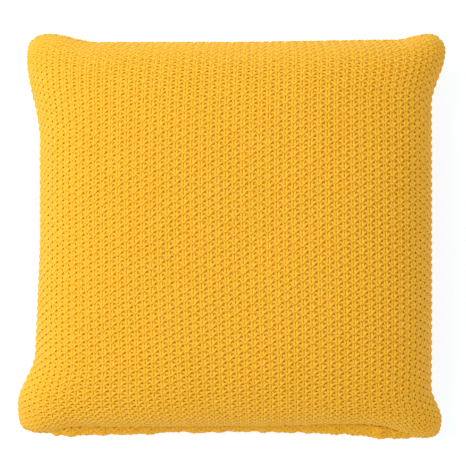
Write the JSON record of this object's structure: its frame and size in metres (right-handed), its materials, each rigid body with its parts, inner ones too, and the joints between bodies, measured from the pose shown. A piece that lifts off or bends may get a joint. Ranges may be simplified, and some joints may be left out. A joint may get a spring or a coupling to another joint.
{
  "type": "knitted cushion",
  "caption": "Square knitted cushion, softly filled, with a crowned face, drawn-in sides, rounded corner ears and a rolled closing edge along the bottom.",
  "frame": {"origin": "middle of the cushion's plan, on the surface that it lies on", "axes": "+Z out of the face, +X to the right of the face, +Y to the top of the face, away from the rolled closing edge"},
  "size_m": [0.482, 0.4552, 0.1528],
  "materials": {
    "yarn": "matte golden-yellow knitted yarn"
  },
  "bodies": {
    "root": {"cushion": "yarn"}
  },
  "joints": []
}
